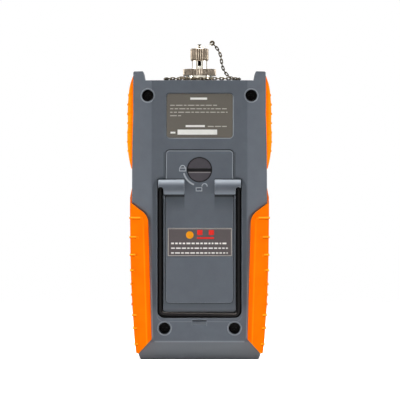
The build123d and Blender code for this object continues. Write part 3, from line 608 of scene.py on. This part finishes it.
# %% Orange grips
def soft_rubber(name, colour, deep, edge, roughness, sheen):
    """Overmoulded rubber: a strong colour, a deeper tone in clouds, edges painted pale as a painted
    highlight, satin grain.
    """
    material, shader, in_mm, normal = finish(name, colour, roughness, ior=1.48, edge_mm=0.4)
    grain(material, shader, in_mm, normal, 0.3, 0.01)
    cloud = add(material, "TexNoise", values={"Scale": 1 / 9.0, "Detail": 2.0}, links={0: in_mm})
    spread = add(material, "MapRange", values={1: 0.35, 2: 0.75}, links={0: cloud.outputs[0]})
    body = blend_colour(material, spread.outputs[0], colour, deep)
    painted_edge_highlight = blend_colour(material, edge_mask(material, normal, 2.5), body, edge)
    material.node_tree.links.new(painted_edge_highlight, shader.inputs["Base Color"])
    shader.inputs["Specular IOR Level"].default_value = 0.015
    shader.inputs["Sheen Weight"].default_value = sheen
    shader.inputs["Sheen Roughness"].default_value = 0.5
    return material


grips = soft_rubber("orange_thermoplastic_rubber", "#FF7400", "#FF7000", "#FFA41A", 0.5, 0.0)
# painted highlight: the crown of the bumpers painted paler where it faces the side light
repaint(grips, "#FF8A06", band(grips, sideways(grips), 41.9, FAR, 0.7))
key_rubber = soft_rubber("grey_silicone_keys", "#6E747B", "#666C73", "#8B9198", 0.55, 0.03)
mat_rubber = soft_rubber("pale_silicone_mat", "#B0B0AE", "#A8A8A6", "#C4C4C2", 0.6, 0.02)
lower_grip = soft_rubber(
    "orange_thermoplastic_rubber_grip", "#FF7600", "#FF7000", "#FFAE1E", 0.5, 0.0
)
rim, ramp, within, paint = bound_to(lower_grip)
rib_heights = [85.9, 74.2, 63.4, 54.0, 45.6, 39.2, 33.3, 26.7, 18.8, 9.1]
rib_starts = [36.0, 38.5, 39.3, 40.2, 41.5, 41.5, 41.5, 38.5, 38.0, 37.5]
rib_half = 6.0
for rib_z, start_x in zip(rib_heights, rib_starts):
    for side in (-1, 1):
        rib_x = side * (start_x + rib_half)
        lit = rim(rib_x, rib_z + 0.3, rib_half, 0.3, 0.1)
        shaded = rim(rib_x, rib_z - 0.75, rib_half, 0.2, 0.1)
        paint("#FFB22A", within(lit, -FAR, 0.1, 0.15))
        paint("#D95F00", within(shaded, -FAR, 0.1, 0.15))
outwards = sideways(lower_grip, grip_lean)
below_turn = ramp(downward, -86.0, -78.0)
# painted shade: the inner part of the lower grips a deeper orange, for the shoulder that turns from the
# light
paint("#FF6600", within(outwards, 0, 30.8, 0.5), below_turn)
# painted highlight: a pale line along the lower grips' outer crest
paint("#FF8C12", within(outwards, 31.4, 31.9, 0.35), below_turn)

# %% [markdown]
# ### Metals
#
# The port is brass with nickel plate, warm and bright; the stand is wire with a black satin coat;
# screws are dark zinc. Turned nickel keeps faint rings, so its roughness varies along its axis; the
# bottoms of the knurls' teeth are painted dark as painted shade, and so is the port's bore. Metals keep
# the default index of refraction, and their colour is what they reflect.

# %% Metals
def turned_metal(name, bright, tarnish, roughness, ring_mm, stain=0.5):
    """Plated metal: streaks across the turning axis vary the gloss, stains vary the tone."""
    material, shader, in_mm, normal = finish(name, bright, roughness, 1.0, edge_mm=0.12)
    stretched = add(material, "Mapping", values={3: (0.15, 0.15, 1 / ring_mm)}, links={0: in_mm})
    streak = add(
        material, "TexNoise", values={"Scale": 1.0, "Detail": 2.0}, links={0: stretched.outputs[0]}
    )
    gloss = add(
        material, "MapRange", values={1: 0.3, 2: 0.7, 3: roughness * 0.75, 4: roughness * 1.3},
        links={0: streak.outputs[0]},
    )
    material.node_tree.links.new(gloss.outputs[0], shader.inputs["Roughness"])
    blot = add(material, "TexNoise", values={"Scale": 1 / 2.2, "Detail": 3.0}, links={0: in_mm})
    spread = add(material, "MapRange", values={1: 0.4, 2: 0.8, 4: stain}, links={0: blot.outputs[0]})
    body = blend_colour(material, spread.outputs[0], bright, tarnish)
    material.node_tree.links.new(body, shader.inputs["Base Color"])
    material.node_tree.links.new(normal, shader.inputs["Normal"])
    return material


nickel = turned_metal("tumbled_nickel_plate", "#96887A", "#4C4134", 0.3, 0.3, 0.8)
dull_nickel = turned_metal("dull_nickel_wire", "#564C3C", "#1C1811", 0.32, 0.4, 0.85)
polish = ("#EDE8DA", "#CFC8B6", 0.16, 0.25, 0.35)
bright_nickel = turned_metal("polished_nickel_plate", *polish)
dark_zinc = turned_metal("dark_zinc_plate", "#1E1D1D", "#121111", 0.45, 0.3)
spring_steel = turned_metal("plated_spring_strip", "#C9C9C6", "#A5A5A0", 0.3, 0.4)
barrel_nickel = turned_metal("polished_nickel_barrel", *polish)
# painted shade: the inside of the port's bore is painted near black
bore_mm = 4.3
repaint(barrel_nickel, "#060505", band(barrel_nickel, from_axis(barrel_nickel), -FAR, bore_mm))


def knurl_tooth_shade(material, node, depth_mm, dark):
    """Paints shade into the bottoms of a knurled piece's teeth, found by their distance from the axis.
    """
    knurl_r = outline_of(node)[2]
    deepest, highest = knurl_r - depth_mm - 0.1, knurl_r - depth_mm * 0.45
    repaint(material, dark, band(material, from_axis(material), deepest, highest, 0.05))


ring_nickel = turned_metal("tumbled_nickel_plate_ring", "#BDB09F", "#6A5C4D", 0.36, 0.3, 0.8)
knurl_tooth_shade(ring_nickel, "adapter_ring", 0.35, "#3E342A")
cap_nickel = turned_metal("tumbled_nickel_plate_cap", "#B3A594", "#6C5F51", 0.42, 0.3, 0.7)
knurl_tooth_shade(cap_nickel, "dust_cap", 0.28, "#4A4035")
stem_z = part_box("dust_cap")[1].z / MM - 2.6
repaint(cap_nickel, "#4A3F33", along(cap_nickel, upward, stem_z, stem_z + 0.2))

# %% Black coat
def satin_coat(name, colour, roughness):
    """Powder coat on wire: near black, with orange-peel bumps near half a millimetre. It is painted
    grey where a face looks up, a painted highlight from the overhead light, most of all on the stand's
    bottom bar."""
    material, shader, in_mm, normal = finish(name, colour, roughness, ior=1.5, edge_mm=0.2)
    grain(material, shader, in_mm, normal, 0.5, 0.012)
    shader.inputs["Specular IOR Level"].default_value = 0.13
    cloud = add(material, "TexNoise", values={"Scale": 1 / 3.0, "Detail": 2.0}, links={0: in_mm})
    body = blend_colour(material, cloud.outputs[0], colour, "#0D0B0B")
    material.node_tree.links.new(body, shader.inputs["Base Color"])
    # painted highlight: faces that look up painted grey, more on the bottom bar
    repaint(material, "#5F5955", facing_up(material, 0.55, 0.9))
    bottom_bar = along(material, downward, -31.0, -29.0)
    repaint(material, "#8A8480", facing_up(material, 0.3, 0.7), bottom_bar)
    return material


black_coat = satin_coat("black_powder_coat", "#080707", 0.32)

# %% [markdown]
# ### Labels, window and inner pieces
#
# The two plates are printed foil with a fine matt weave. The rest hardly shows, but it is seen
# through the window, through the key gaps and when the door comes off, so each has its own finish:
# solder mask, printed cell sleeve, display glass, clear acrylic and ground ceramic.

# %% Foil
def printed_foil(name, colour, second, thread_mm=0.45):
    """Matt foil: a fine crossed weave of two close tones, one wave along each direction."""
    material, shader, in_mm, normal = finish(name, colour, 0.55, ior=1.46, edge_mm=0.1)
    across = add(
        material, "TexWave", {"wave_type": "BANDS", "bands_direction": "X"},
        {"Scale": 0.314 / thread_mm, "Distortion": 0.6, "Detail": 1.0}, {0: in_mm},
    )
    upwards = add(
        material, "TexWave", {"wave_type": "BANDS", "bands_direction": "Z"},
        {"Scale": 0.314 / thread_mm, "Distortion": 0.6, "Detail": 1.0}, {0: in_mm},
    )
    weave = add(
        material, "Math", {"operation": "MULTIPLY"},
        links={0: across.outputs["Fac"], 1: upwards.outputs["Fac"]},
    )
    body = blend_colour(material, weave.outputs[0], colour, second)
    material.node_tree.links.new(body, shader.inputs["Base Color"])
    bump = add(
        material, "Bump", values={"Strength": 1.0, "Distance": 0.006 * MM},
        links={"Height": weave.outputs[0], "Normal": normal},
    )
    material.node_tree.links.new(bump.outputs[0], shader.inputs["Normal"])
    return material


upper_foil = printed_foil("brown_grey_foil", "#5A554D", "#645F57")
lower_foil = printed_foil("dark_brown_foil", "#4B4344", "#554D4D")

# %% Inner finishes
def plain_gloss(name, colour, roughness, ior=1.5, spot="#000000", spot_mm=3.0, amount=0.12):
    """A smooth inner piece: one colour with a slow second tone, and its own gloss."""
    material, shader, in_mm, normal = finish(name, colour, roughness, ior=ior)
    cloud = add(material, "TexNoise", values={"Scale": 1 / spot_mm}, links={0: in_mm})
    spread = add(material, "MapRange", values={1: 0.45, 2: 0.7, 4: amount}, links={0: cloud.outputs[0]})
    body = blend_colour(material, spread.outputs[0], colour, spot)
    material.node_tree.links.new(body, shader.inputs["Base Color"])
    material.node_tree.links.new(normal, shader.inputs["Normal"])
    return material


solder_mask = plain_gloss(
    "green_solder_mask", "#1F5B38", 0.35, spot="#2F7A4C", spot_mm=1.2, amount=0.5
)
cell_sleeve = plain_gloss("printed_cell_sleeve", "#4C5157", 0.3, spot="#A9ADB2", amount=0.3)
display_glass = plain_gloss(
    "grey_display_glass", "#8C9482", 0.12, spot="#7C8474", spot_mm=9.0, amount=0.5
)
ceramic = plain_gloss("ground_zirconia", "#EFEDE6", 0.2, ior=2.1, spot="#D8D5CB")
clear = plain_gloss("clear_acrylic", "#F4F8F8", 0.04, ior=1.49, spot="#F0F6F6")
for n in clear.node_tree.nodes:
    if n.type == "BSDF_PRINCIPLED":
        n.inputs["Transmission Weight"].default_value = 1.0

# %% [markdown]
# ## Dressing the CAD pieces
#
# A CAD piece whose shape is right keeps its own mesh and only changes its material. The table
# below is by material slot, as the record gives it, so a new node in a slot is dressed as well.
# A few nodes have tones that lie at their own places, so they have a finish of their own.

# %% Dressing
dress = {
    "housing_grey": housing, "grip_orange": grips, "plate_brown": upper_foil,
    "plate_dark": lower_foil, "lock_brown": lock_plastic, "bail_black": black_coat,
    "nickel": nickel, "bright_nickel": bright_nickel, "screw_steel": dark_zinc,
    "cell_wrap": cell_sleeve, "spring_steel": spring_steel, "board_green": solder_mask,
    "display_grey": display_glass, "window_clear": clear, "key_rubber": key_rubber,
    "mat_rubber": mat_rubber, "zirconia": ceramic,
}
own = {
    "battery_door": door_plastic, "rear_shell": rear_plastic,
    "lower_grip_left": lower_grip, "lower_grip_right": lower_grip,
    "port_barrel": barrel_nickel, "dust_cap": cap_nickel, "adapter_ring": ring_nickel,
}
slot_of = {s["node"]: s["material_slot"] for s in frame["record"]["subparts"]}
for name, part in nodes.items():
    material = own.get(name, dress[slot_of[name]])
    part.data.materials.clear()
    part.data.materials.append(material)
print(len(nodes), "CAD pieces dressed in", len(set(slot_of.values())), "finishes")

# %% [markdown]
# ## Smooth copies
#
# The CAD meshes are loose triangles, which is fine for flat faces but shows as bands on turned
# and bent pieces. Their shape is right, so each gets a copy with its corners merged and smooth
# shading between faces that meet at a small angle, and the copy stands for the node.
#
# The photograph's outline is up to a millimetre wider than the solids' near the foot and at the
# ends of the bumpers. A new profile in CAD would be cleaner, but a push of that size by height
# does it here, and all pieces at one place move alike, so no gap opens between them.

# %% Smooth copies
def smooth_copy(name, angle=35):
    """A merged copy of a CAD node, shaded smooth where its faces meet below an angle."""
    source = nodes[name]
    mesh = source.data.copy()
    copy = bpy.data.objects.new(name + "_smooth", mesh)
    bpy.context.scene.collection.objects.link(copy)
    for other in bpy.context.selected_objects:
        other.select_set(False)
    bpy.context.view_layer.objects.active = copy
    copy.select_set(True)
    bpy.ops.object.mode_set(mode="EDIT")
    bpy.ops.mesh.select_all(action="SELECT")
    bpy.ops.mesh.remove_doubles(threshold=0.002 * MM)
    bpy.ops.object.mode_set(mode="OBJECT")
    bpy.ops.mesh.customdata_custom_splitnormals_clear()
    bpy.ops.object.shade_smooth_by_angle(angle=math.radians(angle))
    copy.select_set(False)
    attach(copy, body_of_node[name])
    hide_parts(name)
    return copy


def fuller(copy, heights, push_mm, start_mm, whole_mm):
    """Moves a copy's sides outwards. The push is read from the height and grows smoothly with
    the distance from the middle plane, from nought at one place to whole at another. It never
    goes past the CAD box."""
    points = np.array([v.co for v in copy.data.vertices])
    side = np.abs(points[:, 0]) / MM
    share = np.clip((side - start_mm) / (whole_mm - start_mm), 0, 1)
    push = np.interp(points[:, 2] / MM, heights, push_mm) * share * share * (3 - 2 * share)
    widest = max(cad_high.x / MM, side.max())
    points[:, 0] = np.sign(points[:, 0]) * np.minimum(side + push, widest) * MM
    copy.data.vertices.foreach_set("co", points.ravel())
    copy.data.update()


turned = ["tilt_bail", "dust_cap", "port_barrel", "port_base", "adapter_ring", "cap_strap",
          "chain_anchor", "upper_bumper_left", "upper_bumper_right",
          "lower_grip_left", "lower_grip_right", "battery_door", "rear_shell", "front_shell"]
flank_heights, flank_push = [0, 5, 12, 27, 42, 64, 76], [0.5, 0.78, 0.97, 0.7, 0.52, 0.2, 0.0]
crown_heights = [116, 122, 129, 136, 143.5, 151, 158, 165, 172.4]
crown_push = [0.5, 0.8, 0.76, 0.5, 0.0, 0.33, 0.64, 0.94, 0.6]
for name in turned:
    copy = smooth_copy(name)
    if name.endswith("_shell") or name.startswith("lower_grip"):
        fuller(copy, flank_heights, flank_push, 25.0, 36.0)
    if name.startswith("upper_bumper"):
        fuller(copy, crown_heights, crown_push, 39.5, 41.5)
print(len(turned), "pieces merged and smoothed")

# %% [markdown]
# ## Chain links
#
# The retaining chain is bent from round wire, one link through the next. In CAD each link is a
# plain bevelled ring in its right place. Here each is read back as a middle and three axes, and
# a round wire is carried round an oval in that frame, which costs few faces and catches light.

# %% Chain links
def oval_links(middles, long_axes, wide_axes, half_long, half_wide, wire):
    """Rings of round wire. The centreline is two half circles joined by straights: the angle
    gives a point on a circle of half_wide, pushed outwards along the link by the rest of its
    length. The wire is a circle round that line, spanned by outwards and the link's normal."""
    turn = np.linspace(0, 2 * np.pi, 20, endpoint=False)
    round_wire = np.linspace(0, 2 * np.pi, 8, endpoint=False)
    straight = half_long - half_wide
    ahead = half_wide * np.cos(turn) + straight * np.sign(np.cos(turn) + 1e-9)
    aside = half_wide * np.sin(turn)
    normals = np.cross(long_axes, wide_axes)
    outward = (
        np.cos(turn)[None, :, None] * long_axes[:, None]
        + np.sin(turn)[None, :, None] * wide_axes[:, None]
    )
    line = (
        middles[:, None] + ahead[None, :, None] * long_axes[:, None]
        + aside[None, :, None] * wide_axes[:, None]
    )
    return (
        line[:, :, None]
        + wire * np.cos(round_wire)[None, None, :, None] * outward[:, :, None]
        + wire * np.sin(round_wire)[None, None, :, None] * normals[:, None, None]
    )


corners = np.array([v.co for v in nodes["retaining_chain"].data.vertices])
step = np.linalg.norm(np.diff(corners, axis=0), axis=1)
print("chain vertices", len(corners), "largest steps", np.sort(step)[-3:].round(5))
link_count = 45
corners = corners.reshape(link_count, -1, 3)
spread = corners - corners.mean(1, keepdims=True)
_, axes = np.linalg.eigh(np.einsum("nij,nik->njk", spread, spread))
long_axes, wide_axes = axes[:, :, 2], axes[:, :, 1]
middles = corners.mean(1)
lengths = np.ptp(np.einsum("nij,nj->ni", spread, long_axes), axis=1)
widths = np.ptp(np.einsum("nij,nj->ni", spread, wide_axes), axis=1)
print("links", link_count, "long", (lengths / MM).round(2)[:3], "wide", (widths / MM).round(2)[:3])

# %% Chain mesh
def ring_mesh(name, points):
    """One mesh of closed rings: points are rings by turn by wire, and both directions wrap."""
    count, around, across = points.shape[:3]
    index = np.arange(count * around * across).reshape(count, around, across)
    ahead = np.roll(index, -1, 1)
    quads = np.stack([index, ahead, np.roll(ahead, -1, 2), np.roll(index, -1, 2)], -1)
    mesh = bpy.data.meshes.new(name)
    mesh.from_pydata(points.reshape(-1, 3).tolist(), [], quads.reshape(-1, 4).tolist())
    mesh.polygons.foreach_set("use_smooth", [True] * len(mesh.polygons))
    made = bpy.data.objects.new(name, mesh)
    bpy.context.scene.collection.objects.link(made)
    return made


half_wire = 0.33 * MM
narrower = 0.84
half_long = lengths.mean() / 2 - half_wire
half_wide = narrower * widths.mean() / 2 - half_wire
rings = oval_links(middles, long_axes, wide_axes, half_long, half_wide, half_wire)
chain = ring_mesh("wire_chain", rings)
chain.data.materials.append(dull_nickel)
ring_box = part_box("jump_ring")
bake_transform(chain)
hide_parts("retaining_chain")
print("chain", len(chain.data.polygons), "faces")

# %% Jump ring
def thick_ring(name, low, high, hole):
    """A ring that fills a box seen along Y: a circle between hole and rim carries an oval
    section, as wide as the rim less the hole and as deep as the box."""
    centre = (np.array(low) + np.array(high)) / 2
    rim = (high[2] - low[2]) / 2
    depth = (high[1] - low[1]) / 2
    turn = np.linspace(0, 2 * np.pi, 48, endpoint=False)[:, None]
    section = np.linspace(0, 2 * np.pi, 16, endpoint=False)[None, :]
    reach = (rim + hole) / 2 + (rim - hole) / 2 * np.cos(section)
    x = centre[0] + reach * np.cos(turn)
    z = centre[2] + reach * np.sin(turn)
    y = centre[1] + depth * np.sin(section) + 0 * turn
    return ring_mesh(name, np.stack([x, y, z], -1)[None])


jump_ring = thick_ring("jump_ring_round", *ring_box, 0.35 * MM)
jump_ring.data.materials.append(dull_nickel)
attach(jump_ring, body_of_node["jump_ring"])
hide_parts("jump_ring")
print("jump ring", [round(v / MM, 2) for v in (*ring_box[0], *ring_box[1])])

# %% [markdown]
# ## Printed fields
#
# Words and signs on the plates are left as plain fields: rows of pale dashes where lines of
# print run, a blank white strip, a disc and three bars of colour. They could be painted by a
# texture, but thin raised ink is how screen print sits on foil, and it stays sharp from anywhere.

# %% Printed fields
def ink(name, colour, roughness=0.5):
    """Screen ink: even colour with tiny pinholes, drawn at a third of a millimetre."""
    material, shader, in_mm, normal = finish(name, colour, roughness, edge_mm=0.02)
    hole = add(material, "TexNoise", values={"Scale": 1 / 0.33, "Detail": 2.0}, links={0: in_mm})
    worn = add(material, "MapRange", values={1: 0.62, 2: 0.75, 4: 0.35}, links={0: hole.outputs[0]})
    body = blend_colour(material, worn.outputs[0], colour, "#6A655D")
    material.node_tree.links.new(body, shader.inputs["Base Color"])
    shader.inputs["Specular IOR Level"].default_value = 0.15
    return material


def field_mesh(name, outlines, y, body, material):
    """Flat fields facing the back: each outline is a ring of (x, z) points in mm at depth y."""
    points, faces = [], []
    for outline in outlines:
        start = len(points)
        points += [(x * MM, y, z * MM) for x, z in outline]
        faces.append(tuple(range(start, len(points))))
    mesh = bpy.data.meshes.new(name)
    mesh.from_pydata(points, [], faces)
    mesh.update()
    made = bpy.data.objects.new(name, mesh)
    bpy.context.scene.collection.objects.link(made)
    made.data.materials.append(material)
    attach(made, body)
    return made


def bar(x0, x1, z0, z1):
    """A rectangle, wound so that its face looks towards the back."""
    return [(x0, z0), (x1, z0), (x1, z1), (x0, z1)]


def dashes(x0, x1, z, height, seed, short=1.2, long=4.2, gap=0.75):
    """A row of short bars between two places, their lengths and gaps drawn from a seeded list."""
    pick = np.random.default_rng(seed)
    row, x = [], x0
    while x < x1 - short * 0.7:
        end = min(x + pick.uniform(short, long), x1)
        row.append(bar(x, end, z - height / 2, z + height / 2))
        x = end + gap
    return row


white_ink = ink("white_screen_ink", "#ECEBE6")
pale_ink = ink("pale_screen_ink", "#B9B5AB")
grey_ink = ink("grey_screen_ink", "#AAA59F")
ink_thick = 0.02 * MM
plate_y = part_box("upper_plate")[0].y - ink_thick
door_plate_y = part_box("lower_plate")[0].y - ink_thick
lines = [
    (-17.8, 11.6, 154.2, 0.55), (-17.8, 17.0, 152.1, 0.55), (-17.8, 17.0, 150.0, 0.55),
    (-17.8, -11.2, 147.9, 0.55), (5.0, 17.0, 141.4, 0.6),
]
rows = [dash for seed, line in enumerate(lines, 1) for dash in dashes(*line, seed)]
field_mesh("upper_rows", rows, plate_y, "meter", pale_ink)
bold = [bar(-5.6, 4.6, 157.6, 158.9), bar(-8.4, 3.2, 141.0, 142.2), bar(-17.6, -14.6, 137.1, 138.2)]
bold.append(bar(-13.3, 10.7, 136.4, 139.5))
field_mesh("upper_strip", bold, plate_y, "meter", white_ink)
print("upper plate:", len(rows), "dashes and", len(bold), "bars")

# %% Lower plate fields
def frame_bars(x0, x1, z0, z1, line):
    """Four bars that make a thin rectangular frame inside two corners."""
    return [
        bar(x0, x1, z1 - line, z1), bar(x0, x1, z0, z0 + line),
        bar(x0, x0 + line, z0 + line, z1 - line), bar(x1 - line, x1, z0 + line, z1 - line),
    ]


low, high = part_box("lower_plate")
margin = 0.15
x0, x1 = low.x / MM + margin, high.x / MM - margin
z0, z1 = low.z / MM + margin, high.z / MM - margin
border = frame_bars(x0, x1, z0, z1, 0.42)
field_mesh("lower_border", border, door_plate_y, "door", grey_ink)
rows = dashes(-17.2, 17.0, 70.5, 0.95, 6, 1.0, 2.4)
for z, seed in ((67.6, 7), (64.7, 8)):
    rows += dashes(-17.2, 17.2, z, 0.75, seed, 0.9, 3.0)
field_mesh("lower_rows", rows, door_plate_y, "door", white_ink)
turn = np.linspace(0, 2 * np.pi, 33)[:-1]
disc = list(zip(-5.9 + 2.3 * np.cos(turn), 75.6 + 2.3 * np.sin(turn)))
orange_ink = ink("orange_screen_ink", "#F09A10")
field_mesh("lower_disc", [disc], door_plate_y, "door", orange_ink)
bars = [bar(-1.4, 1.8, 75.6, 78.6), bar(5.6, 8.8, 75.6, 78.6), bar(-1.5, 8.8, 73.2, 74.3)]
red_ink = ink("red_screen_ink", "#DC2A22")
field_mesh("lower_bars", bars, door_plate_y, "door", red_ink)
print("lower plate: border,", len(rows), "dashes, disc and", len(bars), "bars")

# %% [markdown]
# ## Key signs
#
# Keys of such meters carry a sign each. Words are left out; plain shapes stay: bars, a square, a
# ring with a stroke, a hollow ring and a disc. They lie on the key and travel with it.

# %% Key signs
def ring_sign(x, z, outer, inner, start=0.0, end=2 * math.pi):
    """A ring or an open arc as a row of small quads between two radii."""
    turn = np.linspace(start, end, 25)
    far = [(x + outer * math.cos(t), z + outer * math.sin(t)) for t in turn]
    near = [(x + inner * math.cos(t), z + inner * math.sin(t)) for t in turn]
    return [[near[i], near[i + 1], far[i + 1], far[i]] for i in range(len(turn) - 1)]


def key_sign(name, x, z):
    """The plain shapes of one key, wound to face the front."""
    if name == "key_unit":
        return [bar(x + 2.4, x - 2.4, z + 0.4, z + 1.0), bar(x + 2.4, x - 2.4, z - 1.0, z - 0.4)]
    if name == "key_wave":
        starts = ((2.6, 0.5), (0.55, 1.1), (-1.5, 0.5))
        return [bar(x + s, x + s - 1.1, z - h, z + h) for s, h in starts]
    if name == "key_store":
        return [bar(x + 1.4, x - 1.4, z - 1.2, z + 1.2)]
    if name == "key_power":
        return ring_sign(x, z, 1.7, 1.2, 2.2, 2.2 + 5.0) + [bar(x + 0.25, x - 0.25, z, z + 2.0)]
    if name == "key_zero":
        return ring_sign(x, z, 1.6, 1.1)
    return ring_sign(x, z, 0.8, 0.01) + ring_sign(x, z, 1.8, 1.45)


for name in sorted(n for n in nodes if n.startswith("key_") and n != "key_mat"):
    sign = key_sign(name, *outline_of(name)[:2])
    sign_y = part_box(name)[1].y + ink_thick
    field_mesh(name + "_sign", sign, sign_y, body_of_node[name], pale_ink)
print("key signs laid on the keys")
